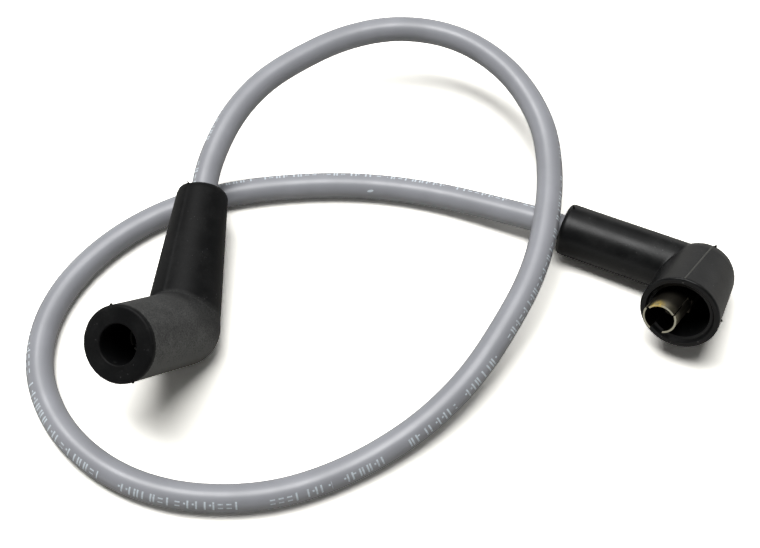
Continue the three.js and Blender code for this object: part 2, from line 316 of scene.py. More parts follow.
def noise(tree, vector, scale, detail=2.0, roughness=0.5):
    inputs = {"Vector": vector, "Scale": scale, "Detail": detail, "Roughness": roughness}
    return node(tree, "ShaderNodeTexNoise", inputs).outputs["Fac"]


def chance(tree, value):
    """A value between 0 and 1 that is another for each whole number."""
    inputs = {"W": value}
    return node(tree, "ShaderNodeTexWhiteNoise", inputs, noise_dimensions="1D").outputs["Value"]


def stepped(tree, value, low, high, to_low=0.0, to_high=1.0):
    """Eases from one value to another while the input goes from low to high."""
    inputs = {"Value": value, "From Min": low, "From Max": high}
    inputs.update({"To Min": to_low, "To Max": to_high})
    return node(tree, "ShaderNodeMapRange", inputs, interpolation_type="SMOOTHSTEP").outputs[0]


def finish_surface(tree, **inputs):
    """The principled shader. In the names of its inputs, _ stands for a space."""
    named = {key.replace("_", " "): value for key, value in inputs.items()}
    shader = node(tree, "ShaderNodeBsdfPrincipled", named)
    node(tree, "ShaderNodeOutputMaterial", {"Surface": shader.outputs[0]})


def object_coords(tree):
    return node(tree, "ShaderNodeTexCoord").outputs["Object"]


def bumped(tree, height, strength, distance):
    inputs = {"Height": height, "Strength": strength, "Distance": distance}
    return node(tree, "ShaderNodeBump", inputs).outputs[0]


def background_rays(tree):
    """Two values: 1 for the camera's rays, and 1 for those that a piece mirrors or lets through."""
    path = node(tree, "ShaderNodeLightPath").outputs
    return path["Is Camera Ray"], highest(tree, path["Is Glossy Ray"], path["Is Transmission Ray"])


DUST_COLOUR = (0.16, 0.16, 0.165)
FLASH_COLOUR = (0.13, 0.13, 0.12)
# Near black, painted as shade deep in a bore.
BORE_SHADE_COLOUR = (0.0005, 0.0005, 0.0005)


def rubber_material(name, colour, bloom_and_painted_light, roughness, shine):
    """Moulded black rubber: fine grain, cloudy bloom with painted light and shade, and a little
    dust.

    The stored attribute is 1 where the rubber is palest from bloom and painted light, 0 where it
    is clean, -1 deep in a bore where the painted shade is darkest, and FLASH on a line of flash.
    """
    material, tree = new_material(name)
    where = object_coords(tree)
    grain = noise(tree, where, 2400.0, 3.0, 0.6)
    cloud = noise(tree, where, 110.0, 5.0, 0.65)
    blotch = noise(tree, where, 420.0, 3.0, 0.6)
    # Per vertex: bloom, painted light on the arms' lit side and painted shade in recesses.
    stored = node(tree, "ShaderNodeAttribute", attribute_name="bloom_and_painted_light").outputs["Fac"]
    pale = maths(tree, "MAXIMUM", stored, 0.0)
    open_to_light = stepped(tree, stored, -1.0, -0.1, 0.12, 1.0)
    mottle = noise(tree, where, 2600.0, 1.0, 0.7)
    amount = maths(tree, "ADD", pale, stepped(tree, cloud, 0.4, 0.8, 0.0, 0.06))
    amount = maths(tree, "MULTIPLY", amount, stepped(tree, blotch, 0.3, 0.7, 0.85, 1.1))
    fine = stepped(tree, mottle, 0.3, 0.7, 0.7, 1.3)
    amount = maths(tree, "MULTIPLY", amount, fine, clamp=True)
    speck = stepped(tree, noise(tree, where, 1300.0, 1.0), 0.7, 0.76)
    dusty = stepped(tree, noise(tree, where, 160.0, 2.0), 0.5, 0.62)
    # The pale colour stands for the bloom and for painted light on the lit side of the arms.
    base = mixed(tree, amount, colour, bloom_and_painted_light)
    base = mixed(tree, product(tree, speck, dusty, 0.3), base, DUST_COLOUR)
    base = mixed(tree, stepped(tree, stored, 1.2, 1.5), base, FLASH_COLOUR)
    # Painted shade: deep in a bore the rubber turns near black.
    base = mixed(tree, open_to_light, BORE_SHADE_COLOUR, base)
    rough = stepped(tree, cloud, 0.3, 0.8, roughness - 0.05, roughness + 0.1)
    finish_surface(
        tree,
        Base_Color=base,
        Roughness=maths(tree, "ADD", rough, maths(tree, "MULTIPLY", pale, 0.15)),
        Specular_IOR_Level=shine,
        Normal=bumped(tree, grain, 0.3, 0.00007),
    )
    return material


def stained(tree, where):
    """How stained the sheet is at each place, from 0 to 1."""
    return stepped(tree, noise(tree, where, 380.0, 3.0, 0.6), 0.35, 0.65)


def finish_metal(tree, where, base, stain_and_shade, roughness):
    finish_surface(
        tree,
        Base_Color=base,
        Metallic=1.0,
        Roughness=stepped(tree, stain_and_shade, 0.0, 1.0, roughness, roughness + 0.2),
        Normal=bumped(tree, noise(tree, where, 3000.0), 0.15, 0.00004),
    )


def sheet_material(name, colour, dark, roughness):
    """Stained sheet metal."""
    material, tree = new_material(name)
    where = object_coords(tree)
    stain_and_shade = stained(tree, where)
    finish_metal(tree, where, mixed(tree, stain_and_shade, colour, dark), stain_and_shade, roughness)
    return material


HANDLED_BRASS = (0.55, 0.5, 0.36)
# Pale, painted as a highlight on the barrel's cut edge.
RIM_HIGHLIGHT_COLOUR = (0.62, 0.6, 0.48)
# Near black, painted as shade on the barrel's inner wall.
BARREL_INSIDE_SHADE = (0.012, 0.011, 0.008)


def barrel_material(name, colour, dark, roughness, tip, axis, bright):
    """Sheet metal of a barrel that ends at tip and points along axis.

    It has painted shade, darker and duller, towards its foot deeper in the cup, as well as
    random stains, a painted highlight of its own bright colour round the bright point, a painted
    highlight on the cut edge and painted shade, near black, inside.
    """
    material, tree = new_material(name)
    where = object_coords(tree)
    back = vectors(tree, "SUBTRACT", where, tip)
    behind = vectors(tree, "DOT_PRODUCT", back, axis, "Value")
    # Painted shade: darker and duller towards the barrel's foot, deeper in the cup.
    foot_shade = stepped(tree, behind, -3.4 * MM, -0.3 * MM, 0.97, 0.45)
    stain_and_shade = highest(tree, foot_shade, product(tree, stained(tree, where), 0.8))
    base = mixed(tree, stain_and_shade, HANDLED_BRASS, dark)
    # Painted highlight on the cut edge at the barrel's tip.
    base = mixed(tree, stepped(tree, behind, -0.16 * MM, -0.1 * MM), base, RIM_HIGHLIGHT_COLOUR)
    away = vectors(tree, "DISTANCE", where, bright, "Value")
    # Painted highlight: the brass's own bright colour round the bright point.
    wear_and_glint = stepped(tree, away, 1.0 * MM, 2.9 * MM, 1.0, 0.0)
    patch = stepped(tree, noise(tree, where, 900.0, 3.0, 0.6), 0.35, 0.6, 0.35, 1.0)
    base = mixed(tree, product(tree, wear_and_glint, patch), base, colour)
    on_axis = node(tree, "ShaderNodeVectorMath", {0: axis, "Scale": behind}, operation="SCALE")
    off_axis = vectors(tree, "SUBTRACT", back, on_axis.outputs[0])
    normal = node(tree, "ShaderNodeTexCoord").outputs["Normal"]
    outward = vectors(tree, "DOT_PRODUCT", off_axis, normal, "Value")
    # Painted shade: the barrel's inner wall turns near black.
    inside = stepped(tree, outward, -1.2 * MM, -0.4 * MM, 1.0, 0.0)
    base = mixed(tree, inside, base, BARREL_INSIDE_SHADE)
    finish_metal(tree, where, base, stain_and_shade, roughness)
    return material


def plain_material(name, colour, roughness, grain_scale):
    """A matt surface with a grain of two close tones."""
    material, tree = new_material(name)
    grain = noise(tree, object_coords(tree), grain_scale, 2.0)
    darker = tuple(0.8 * c for c in colour)
    finish_surface(
        tree,
        Base_Color=mixed(tree, grain, colour, darker),
        Roughness=roughness,
        Normal=bumped(tree, grain, 0.3, 0.0001),
    )
    return material


MARK_PITCH = 2.0  # from one mark to the next along the cable
MARK_HALF_HEIGHT = 1.15
STROKE_HALF_WIDTH = 0.23
MARK_GROUP = 18.0  # length of one group of marks, with the gap before it
FLECK_ALONG, FLECK_ACROSS = 501.0, -5.5  # the pale fleck on the jacket
FLECK_HALF_LENGTH, FLECK_HALF_WIDTH = 0.8, 0.42


def jacket_marks(tree, across, along):
    """1 on the pale bars and dashes, whose middle line is across = 0."""
    share = maths(tree, "DIVIDE", along, MARK_PITCH)
    inside = product(tree, maths(tree, "FRACT", share), MARK_PITCH)
    pick = chance(tree, maths(tree, "FLOOR", share))

    def band(value, middle, half, soft=0.06):
        away = maths(tree, "ABSOLUTE", maths(tree, "SUBTRACT", value, middle))
        return stepped(tree, away, half - soft, half + soft, 1.0, 0.0)

    def picked(low, high):
        above = maths(tree, "GREATER_THAN", pick, low)
        return product(tree, above, maths(tree, "LESS_THAN", pick, high))

    tall = band(across, 0.0, MARK_HALF_HEIGHT)
    wide = band(inside, 1.0, 0.6)
    first = product(tree, band(inside, 0.6, STROKE_HALF_WIDTH), tall, picked(0.0, 0.55))
    second = product(tree, band(inside, 1.35, STROKE_HALF_WIDTH), tall, picked(0.3, 0.75))
    above = product(tree, wide, band(across, 0.55, 0.19), picked(0.75, 1.0))
    below = product(tree, wide, band(across, -0.55, 0.19), picked(0.7, 1.0))
    dot = product(tree, band(inside, 1.35, 0.25), band(across, -0.3, 0.25), picked(0.1, 0.3))
    marks = highest(tree, first, second, above, below, dot)
    group = maths(tree, "DIVIDE", along, MARK_GROUP)
    gap = product(tree, chance(tree, maths(tree, "FLOOR", group)), 0.35)
    return product(tree, marks, maths(tree, "GREATER_THAN", maths(tree, "FRACT", group), gap))


def jacket_fleck(tree, across, along):
    """1 on one slanted pale fleck."""
    off = maths(tree, "SUBTRACT", across, FLECK_ACROSS)
    past = maths(tree, "SUBTRACT", maths(tree, "SUBTRACT", along, FLECK_ALONG), off)
    u = maths(tree, "DIVIDE", past, FLECK_HALF_LENGTH)
    v = maths(tree, "DIVIDE", off, FLECK_HALF_WIDTH)
    radius = maths(tree, "ADD", product(tree, u, u), product(tree, v, v))
    return stepped(tree, radius, 0.7, 1.3, 1.0, 0.0)


def jacket_material(name, colour, cloud_tone, mark_colour, diameter):
    """Satin silicone with a band of small pale marks along one side."""
    material, tree = new_material(name)
    where = object_coords(tree)
    uv = node(tree, "ShaderNodeUVMap", uv_map="UVMap").outputs[0]
    split = node(tree, "ShaderNodeSeparateXYZ", {0: uv}).outputs
    off_middle = maths(tree, "SUBTRACT", split[0], 0.5)
    across = product(tree, off_middle, math.pi * diameter / MM)
    along = maths(tree, "DIVIDE", split[1], MM)
    wear_and_glint = stepped(tree, noise(tree, where, 1500.0, 2.0), 0.3, 0.55, 0.6, 1.0)
    marks = product(tree, jacket_marks(tree, across, along), wear_and_glint)
    marks = highest(tree, marks, jacket_fleck(tree, across, along))
    cloud = noise(tree, where, 90.0, 3.0)
    # A darker tone in random clouds.
    base = mixed(tree, stepped(tree, cloud, 0.3, 0.7), colour, cloud_tone)
    finish_surface(
        tree,
        Base_Color=mixed(tree, marks, base, mark_colour),
        Roughness=stepped(tree, cloud, 0.3, 0.7, 0.33, 0.41),
        Specular_IOR_Level=0.75,
        Normal=bumped(tree, noise(tree, where, 1800.0, 2.0), 0.12, 0.00005),
    )
    return material


PAPER_TINT = (1.0, 0.985, 0.93)
BACKDROP_FROM, BACKDROP_TO = 0.22, 0.6  # metres from the lead at which paper turns to backdrop


def floor_material(name, bounce, shown):
    """White paper that is brighter to the camera than its own bounce.

    Far off it is a white backdrop, which is seen in metal too.
    """
    material, tree = new_material(name)
    tones = [tuple(v * tint for tint in PAPER_TINT) + (1.0,) for v in (bounce, *shown)]
    layers = [node(tree, "ShaderNodeBsdfDiffuse", {"Color": tone}).outputs[0] for tone in tones]
    bright = layers[1]
    for layer in layers[2:]:
        bright = node(tree, "ShaderNodeAddShader", {0: bright, 1: layer}).outputs[0]
    camera, off_piece = background_rays(tree)
    near = node(tree, "ShaderNodeMixShader", {0: camera, 1: layers[0], 2: bright}).outputs[0]
    away = vectors(tree, "LENGTH", object_coords(tree), output="Value")
    far = stepped(tree, away, BACKDROP_FROM, BACKDROP_TO)
    far = product(tree, highest(tree, camera, off_piece), far)
    white = node(tree, "ShaderNodeEmission", {"Color": (1.0, 1.0, 1.0, 1.0)}).outputs[0]
    both = node(tree, "ShaderNodeMixShader", {0: far, 1: near, 2: white})
    material.cycles.emission_sampling = "NONE"
    node(tree, "ShaderNodeOutputMaterial", {"Surface": both.outputs[0]})
    return material


class LeadCable(bpy.types.PropertyGroup):
    diameter: bpy.props.FloatProperty(
        name="Diameter",
        description="Outside diameter of the cable's jacket",
        default=0.007,
        unit="LENGTH",
    )
    colour: bpy.props.FloatVectorProperty(
        name="Colour",
        description="Colour of the silicone jacket",
        default=(0.42, 0.43, 0.465),
        subtype="COLOR",
        min=0.0,
        max=1.0,
    )
    mark_colour: bpy.props.FloatVectorProperty(
        name="Mark colour",
        description="Colour of the small marks along the jacket",
        default=(0.82, 0.9, 0.96),
        subtype="COLOR",
        min=0.0,
        max=1.0,
    )


class LeadBoots(bpy.types.PropertyGroup):
    colour: bpy.props.FloatVectorProperty(
        name="Colour",
        description="Colour of the boots' rubber",
        default=(0.0045, 0.0047, 0.005),
        subtype="COLOR",
        min=0.0,
        max=1.0,
    )
    # Also the colour of the painted light on the lit side of the boots' arms.
    bloom_and_painted_light: bpy.props.FloatVectorProperty(
        name="Bloom",
        description="Colour of the faint bloom on the rubber",
        default=(0.2, 0.202, 0.197),
        subtype="COLOR",
        min=0.0,
        max=1.0,
    )


class LeadMetal(bpy.types.PropertyGroup):
    # Shown only round the barrel's bright point, as a painted highlight.
    brass: bpy.props.FloatVectorProperty(
        name="Brass",
        description="Colour of the distributor terminal's sheet",
        default=(1.0, 0.76, 0.24),
        subtype="COLOR",
        min=0.0,
        max=1.0,
    )
    # Also painted as shade towards the barrel's foot, deeper in the cup.
    tarnish_and_shade: bpy.props.FloatVectorProperty(
        name="Tarnish",
        description="Colour of the stained sheet",
        default=(0.06, 0.055, 0.045),
        subtype="COLOR",
        min=0.0,
        max=1.0,
    )


def rounded_line(points, step):
    """A centripetal Catmull-Rom line through the points, sampled about every step metres."""
    points = [Vector(p) for p in points]
    ends = [2 * points[0] - points[1]] + points + [2 * points[-1] - points[-2]]
    line = []
    for p0, p1, p2, p3 in zip(ends, ends[1:], ends[2:], ends[3:]):
        t1 = (p1 - p0).length ** 0.5
        t2 = t1 + (p2 - p1).length ** 0.5
        t3 = t2 + (p3 - p2).length ** 0.5
        pieces = max(1, round((p2 - p1).length / step))
        for i in range(pieces):
            t = t1 + (t2 - t1) * i / pieces
            a1 = p0.lerp(p1, t / t1)
            a2 = p1.lerp(p2, (t - t1) / (t2 - t1))
            a3 = p2.lerp(p3, (t - t2) / (t3 - t2))
            b1 = a1.lerp(a2, t / t2)
            b2 = a2.lerp(a3, (t - t1) / (t3 - t1))
            line.append(b1.lerp(b2, (t - t1) / (t2 - t1)))
    line.append(points[-1])
    return line


def relaxed(line, rounds):
    """Smooths a line and leaves its first and last points where they are."""
    for _ in range(rounds):
        middle = [(a + 2 * b + c) / 4 for a, b, c in zip(line, line[1:], line[2:])]
        line = line[:1] + middle + line[-1:]
    return line


def cable_line():
    """The middle line of the cable, from its cut end in one crimp to its cut end in the other."""
    plug, cap = boot_matrix(PLUG_BOOT), boot_matrix(CAP_BOOT)

    def on_sleeve(matrix, distance):
        return matrix @ Vector((distance * MM, 0, 0))

    def cut_end(boot):
        return boot["crimp_at"] + CRIMP_LENGTH - CUT_END

    points = [
        on_sleeve(plug, cut_end(PLUG_BOOT)),
        on_sleeve(plug, PLUG_BOOT["sleeve_length"]),
        on_sleeve(plug, PLUG_BOOT["sleeve_length"] + STRAIGHT_RUN),
        *CABLE_ROUTE,
        on_sleeve(cap, CAP_BOOT["sleeve_length"] + STRAIGHT_RUN),
        on_sleeve(cap, CAP_BOOT["sleeve_length"]),
        on_sleeve(cap, cut_end(CAP_BOOT)),
    ]
    return relaxed(rounded_line(points, LINE_STEP), LINE_ROUNDS)


# The share of the cable's length, and how far the marks are turned there from its top to its left
MARK_TURNS = (
    (0.0, 50),
    (0.08, 52),
    (0.13, 85),
    (0.22, 90),
    (0.27, 72),
    (0.33, 66),
    (0.42, 55),
    (0.5, 55),
    (0.6, 55),
    (0.66, 45),
    (0.69, 100),
    (0.755, 100),
    (0.785, 34),
    (1.0, 32),
)


def mark_turn(fraction):
    """How far the marks are turned from the cable's top, at a fraction of its length."""
    for (f0, d0), (f1, d1) in zip(MARK_TURNS, MARK_TURNS[1:]):
        if fraction <= f1:
            return d0 + (d1 - d0) * (fraction - f0) / (f1 - f0)
    return MARK_TURNS[-1][1]


def tube(name, line, radius, sides=48):
    """A closed round tube along a line.

    Its UV map goes once round in U, from the side away from the marks, and gives the distance in V.
    """
    bm = bmesh.new()
    rings, run = [], [0.0]
    for a, b in zip(line, line[1:]):
        run.append(run[-1] + (b - a).length)
    for i, point in enumerate(line):
        ahead = (line[min(i + 1, len(line) - 1)] - line[max(i - 1, 0)]).normalized()
        left = UP.cross(ahead).normalized()
        up = ahead.cross(left)
        start = math.radians(mark_turn(run[i] / run[-1])) + math.pi
        ring = []
        for k in range(sides):
            a = start + 2 * math.pi * k / sides
            out = math.cos(a) * up + math.sin(a) * left
            ring.append(bm.verts.new(point + radius * out))
        rings.append(ring)
    uv = bm.loops.layers.uv.new("UVMap")
    for i, (ring, after) in enumerate(zip(rings, rings[1:])):
        for k in range(sides):
            n = (k + 1) % sides
            face = bm.faces.new((ring[k], after[k], after[n], ring[n]))
            corners = ((k, i), (k, i + 1), (k + 1, i + 1), (k + 1, i))
            for loop, (u, v) in zip(face.loops, corners):
                loop[uv].uv = (u / sides, run[v])
    bm.faces.new(list(reversed(rings[0])))
    bm.faces.new(rings[-1])
    bmesh.ops.recalc_face_normals(bm, faces=bm.faces)
    return new_object(name, bm)


def boot_outside(boot):
    """Sleeve and arm of a boot as two closed shapes, in the boot's own frame."""
    bm = bmesh.new()
    end = boot["sleeve_length"] - boot["sleeve_round"]
    sleeve = [(0, 0), (boot["sleeve_root"], 0)]
    sleeve += arc(boot["sleeve_end"] - boot["sleeve_round"], end, boot["sleeve_round"], 0, 90)
    sleeve += [(0, boot["sleeve_length"])]
    lathe(bm, sleeve, axis_matrix(0))
    squeeze = boot["elbow_depth"] / boot["elbow_radius"]
    arm = arc(0, boot["elbow_shift"], boot["elbow_radius"], -90, 0, 24, squeeze)
    arm[0] = (0, arm[0][1])
    mouth = boot["arm_length"] - boot["arm_round"]
    arm += arc(boot["arm_mouth"] - boot["arm_round"], mouth, boot["arm_round"], 0, 90, 6)
    arm += [(0, boot["arm_length"])]
    lathe(bm, arm, axis_matrix(boot["angle"]))
    return bm


def sleeve_room(boot):
    """The room for the crimp, the bore for the cable and the flare at the sleeve's end."""
    bm = bmesh.new()
    room_end = boot["crimp_at"] + CRIMP_LENGTH + 0.3
    end = boot["sleeve_length"]
    profile = [
        (0, CRIMP_ROOM_START),
        (CRIMP_ROOM_RADIUS, CRIMP_ROOM_START),
        (CRIMP_ROOM_RADIUS, room_end),
        (CABLE_BORE, room_end + CRIMP_ROOM_RADIUS - CABLE_BORE),
        (CABLE_BORE, end - 1.2),
        (CABLE_BORE + 0.4, end - 0.3),
        (CABLE_BORE + 0.8, end + 1),
        (0, end + 1),
    ]
    lathe(bm, profile, axis_matrix(0))
    return bm


def arm_axis(boot):
    """The arm's direction in the boot's own frame."""
    a = math.radians(boot["angle"])
    return Vector((math.cos(a), 0, math.sin(a)))


def round_the_arm(boot, turn):
    """A unit vector square to the arm: towards the sleeve at 0 degrees, and local +Y at 90."""
    arm = arm_axis(boot)
    inner = Vector((arm.z, 0, -arm.x))
    turn = math.radians(turn)
    return math.cos(turn) * inner + math.sin(turn) * Vector((0, 1, 0))


def arm_radius(boot, distance):
    """How far the rubber is from the arm's axis at a distance from the elbow."""
    start = boot["elbow_shift"]
    if distance < start:
        ratio = (distance - start) / boot["elbow_depth"]
        return boot["elbow_radius"] * math.sqrt(max(0.0, 1 - ratio * ratio))
    share = (distance - start) / (boot["arm_length"] - start)
    return boot["elbow_radius"] + (boot["arm_mouth"] - boot["elbow_radius"]) * share


def nib(bm, place, direction, width, height):
    """A torn nib of flash on the rubber, pointing along a direction in the boot's own frame."""
    root = -0.6
    turn = direction.to_track_quat("Z", "Y").to_matrix().to_4x4()
    profile = [
        (0, root),
        (width, root),
        (width * 0.8, height * 0.4),
        (width * 0.3, height),
        (0, height),
    ]
    lathe(bm, profile, Matrix.Translation(place * MM) @ turn, 12)


def bridged(bm, rings):
    """Joins closed rings of points, each to the next, and closes both ends."""
    loops = []
    for ring in rings:
        verts = [bm.verts.new(point * MM) for point in ring]
        pairs = zip(verts, verts[1:] + verts[:1])
        loops.append([bm.edges.new(pair) for pair in pairs])
    for a, b in zip(loops, loops[1:]):
        bmesh.ops.bridge_loops(bm, edges=a + b)
    for loop in (loops[0], loops[-1]):
        bmesh.ops.edgeloop_fill(bm, edges=loop)


def seam(bm, boot, turns, ends, width, height):
    """A fine raised line of flash along the arm, from one turn round it to another."""
    arm = arm_axis(boot)
    rings = []
    steps = 60
    for i in range(steps + 1):
        d = ends[0] + (ends[1] - ends[0]) * i / steps
        out = round_the_arm(boot, turns[0] + (turns[1] - turns[0]) * i / steps)
        side = arm.cross(out) * width
        foot = arm * d + out * (arm_radius(boot, d) - 0.1)
        top = arm * d + out * (arm_radius(boot, d) + height)
        rings.append((foot - side, top, foot + side))
    bridged(bm, rings)


def add_details(obj, bm):
    """Adds small closed shapes to an object's own mesh."""
    bmesh.ops.recalc_face_normals(bm, faces=bm.faces)
    bm.from_mesh(obj.data)
    bm.to_mesh(obj.data)
    bm.free()


FLASH = 2.0  # the bloom value of a line of flash
SOUTH = Vector((0, -1, 0))


def clamped(value):
    return max(0.0, min(1.0, value))


def paint_bloom_and_light(obj, boot, on_arm, on_sleeve, face_shade, rim, bore, flash_points=0):
    """Stores how pale the rubber is at each vertex of the arm's wall, the sleeve and the mouth:
    its bloom, with painted light and shade.

    The mouth's face and the arm's last rim millimetres get the same painted shade, and inside the
    bore the painted shade is darkest, deepest in. The wall gets painted light on its south side
    and painted shade towards the elbow, near the sleeve and on its side that faces the sleeve.
    The first flash_points vertices are flash.
    """
    arm, inner = arm_axis(boot), round_the_arm(boot, 0)
    south = boot_matrix(boot).to_3x3().inverted() @ SOUTH
    values = []
    for vertex in obj.data.vertices:
        if vertex.index < flash_points:
            values.append(FLASH)
            continue
        place = vertex.co / MM
        distance = place.dot(arm)
        off_arm = (place - arm * distance).length
        off_wall = off_arm - arm_radius(boot, distance)
        behind = boot["arm_length"] - distance
        on_mouth = vertex.normal.dot(arm) > 0.8 and behind < 1.5
        # Painted shade inside the bore, darker deeper in.
        if off_arm < bore and behind > 0.1 and distance > 0:
            value = -min(1.0, behind / 5.0)
        # Painted shade on the mouth's face and the arm's last rim millimetres.
        elif behind < rim or on_mouth:
            value = face_shade
        # Bloom on the arm's wall, with painted light on its south side and painted shade towards
        # the elbow, near the sleeve and on the side facing the sleeve.
        elif off_wall < 0.35:
            past_elbow = clamped((distance + 6.5) / 4.0)
            value = on_arm * (0.12 + 0.88 * past_elbow) * (0.9 - 0.36 * vertex.normal.dot(inner))
            value *= 0.9 + 1.4 * max(0.0, vertex.normal.dot(south))
            off_side = max(0.0, math.hypot(place.y, place.z) - boot["sleeve_root"])
            off_sleeve = math.hypot(off_side, min(0.0, place.x))
            value *= 0.4 + 0.6 * clamped(off_sleeve / 5.0)
        else:
            value = on_sleeve + (on_arm - on_sleeve) * 0.3 * clamped(1.0 - off_wall)
        values.append(value)
    layer = obj.data.attributes.new("bloom_and_painted_light", "FLOAT", "POINT")
    layer.data.foreach_set("value", values)


def finish_rubber(obj, boot, material):
    """Puts a boot in its place and gives it its material."""
    obj.data.transform(boot_matrix(boot))
    shade(obj)
    obj.data.materials.clear()
    obj.data.materials.append(material)


class LEAD_OT_cable(bpy.types.Operator):
    """Make the cable's jacket with its row of pale marks"""

    bl_idname = "lead.cable"
    bl_label = "Cable"

    def execute(self, context):
        values = context.scene.lead_cable
        line = cable_line()
        cable = tube("cable", line, values.diameter / 2)
        cable.data.shade_smooth()
        colour, marks = tuple(values.colour), tuple(values.mark_colour)
        cloud_tone = tuple(0.88 * c for c in colour)
        material = jacket_material("grey_silicone", colour, cloud_tone, marks, values.diameter)
        cable.data.materials.append(material)
        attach(cable, "root")
        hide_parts("cable_jacket")
        return {"FINISHED"}


# Nibs of flash on the plug boot's mouth: the turn round the arm, and the height
PLUG_NIBS = ((4, 0.7), (197, 0.6))
PLUG_SOCKET = 5.3  # radius
PLUG_LIP = 4.95


class LEAD_OT_plug_boot(bpy.types.Operator):
    """Make the rubber boot that goes on the spark plug"""

    bl_idname = "lead.plug_boot"
    bl_label = "Spark plug boot"

    def execute(self, context):
        boot = PLUG_BOOT
        bm = boot_outside(boot)
        end, mouth = boot["sleeve_length"], boot["arm_length"]
        pad = [
            (boot["sleeve_root"] - 2.0, 6.5),
            (boot["sleeve_root"] - 0.2, 6.5),
            (boot["sleeve_end"] + 0.25, end - 2.0),
            (boot["sleeve_end"] - 0.1, end - 0.6),
            (boot["sleeve_end"] - 2.0, end - 0.6),
        ]
        lathe(bm, pad, axis_matrix(0), 60, 142.0, 30.0)
        obj = new_object("plug_boot_rubber", bm)
        remeshed(obj, 0.3, 9)
        cut(obj, sleeve_room(boot))
        socket = bmesh.new()
        profile = [
            (0, -2.6),
            (PLUG_SOCKET - 0.1, -2.6),
            (PLUG_SOCKET - 0.1, mouth - 11.5),
            (PLUG_SOCKET, mouth - 11.2),
            (PLUG_SOCKET, mouth - 1.6),
            (PLUG_LIP, mouth - 1.3),
            (PLUG_LIP, mouth - 0.2),
            (PLUG_LIP + 0.2, mouth),
            (PLUG_LIP + 0.2, mouth + 1),
            (0, mouth + 1),
        ]
        lathe(socket, profile, axis_matrix(boot["angle"]))
        cut(obj, socket)
        details = bmesh.new()
        rim = arm_axis(boot) * (mouth - 0.4)
        for turn, height in PLUG_NIBS:
            out = round_the_arm(boot, turn)
            nib(details, rim + out * (boot["arm_mouth"] - 0.3), out, 0.55, height)
        flank = Vector((0, math.sin(math.radians(8)), math.cos(math.radians(8))))
        nib(details, Vector((end - 1, 0, 0)) + flank * 6.6, flank + Vector((0.5, 0, 0)), 0.3, 0.8)
        add_details(obj, details)
        # Bloom and painted light on the arm; painted shade on the mouth's face, its last 1.3 mm and
        # deep in the socket.
        paint_bloom_and_light(obj, boot, 0.58, 0.0, -0.2, 1.3, 5.5)
        values = context.scene.lead_boots
        colour, bloom_and_painted_light = tuple(values.colour), tuple(values.bloom_and_painted_light)
        finish_rubber(obj, boot, rubber_material("plug_rubber", colour, bloom_and_painted_light, 0.55, 0.16))
        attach(obj, "root")
        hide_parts("plug_boot")
        return {"FINISHED"}


# Pale crumbs on the rim of the cup: the turn round the arm, the distance from its axis, the size
CUP_CRUMBS = (
    (92, 9.5, 0.2),
    (138, 9.1, 0.17),
    (106, 9.9, 0.18),
    (76, 9.0, 0.13),
    (-80, 9.1, 0.2),
)
CUP_RADIUS = 7.5


class LEAD_OT_distributor_boot(bpy.types.Operator):
    """Make the rubber boot with the domed cup that goes on the distributor cap"""

    bl_idname = "lead.distributor_boot"
    bl_label = "Distributor boot"

    def execute(self, context):
        boot = CAP_BOOT
        arm, mouth = arm_axis(boot), boot["arm_length"]
        obj = new_object("distributor_boot_rubber", boot_outside(boot))
        remeshed(obj, 0.25, 4)
        cut(obj, sleeve_room(boot))
        cup = bmesh.new()
        profile = [
            (0, -2.0),
            (5.6, -2.0),
            (5.6, mouth - 13.9),
            (CUP_RADIUS, mouth - 12),
            (CUP_RADIUS, mouth - 0.9),
            (CUP_RADIUS + 0.7, mouth - 0.75),
            (CUP_RADIUS + 1.2, mouth - 0.1),
            (CUP_RADIUS + 1.4, mouth + 0.3),
            (0, mouth + 0.3),
        ]
        lathe(cup, profile, axis_matrix(boot["angle"]))
        cut(obj, cup)
        details = bmesh.new()
        seam(details, boot, (-97, -81), (-6.5, mouth - 0.5), 0.3, 0.22)
        for turn, off, size in CUP_CRUMBS:
            place = arm * (mouth - 0.05) + round_the_arm(boot, turn) * off
            nib(details, place, arm, size, 0.15)
        flash_points = len(details.verts)
        top = round_the_arm(boot, -98)
        nib(details, arm * -3.0 + top * 8.0, top, 0.4, 0.7)
        nib(details, Vector((36.6, -6.9, 0)), Vector((0.4, -1, 0)), 0.45, 1.1)
        out = round_the_arm(boot, 180)
        nib(details, arm * 16.0 + out * (arm_radius(boot, 16.0) - 0.1), out, 0.45, 0.5)
        add_details(obj, details)
        # Faint bloom and painted light on the arm; painted shade on the cup's face and deep in the
        # cup.
        paint_bloom_and_light(obj, boot, 0.035, 0.012, -0.5, 0.0, 7.7, flash_points)
        values = context.scene.lead_boots
        colour, bloom_and_painted_light = tuple(values.colour), tuple(values.bloom_and_painted_light)
        finish_rubber(obj, boot, rubber_material("cap_rubber", colour, bloom_and_painted_light, 0.37, 0.32))
        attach(obj, "root")
        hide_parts("distributor_boot")
        return {"FINISHED"}


CAP_BARREL = {
    "radius": 4.25,
    "sheet": 0.5,
    "top": 24.9,
    "length": 12,
    "angle": 80,
    "offset": 0.75,
    "base_round": 2,
    "slot_depth": 9,
    "slots": ((92, 3.0), (-23, 0.8), (-138, 0.8)),
}
STRAP_BEND, STRAP_WIDTH = 2.5, 4
GLINT_TURN = -58  # where the barrel's tip gets its painted highlight

# The barrel's three petals: the turns that each lies between, and how far out use has bent its tip
PETALS = ((-138, -23, -0.5), (-23, 92, 0.35), (92, 222, -0.05))


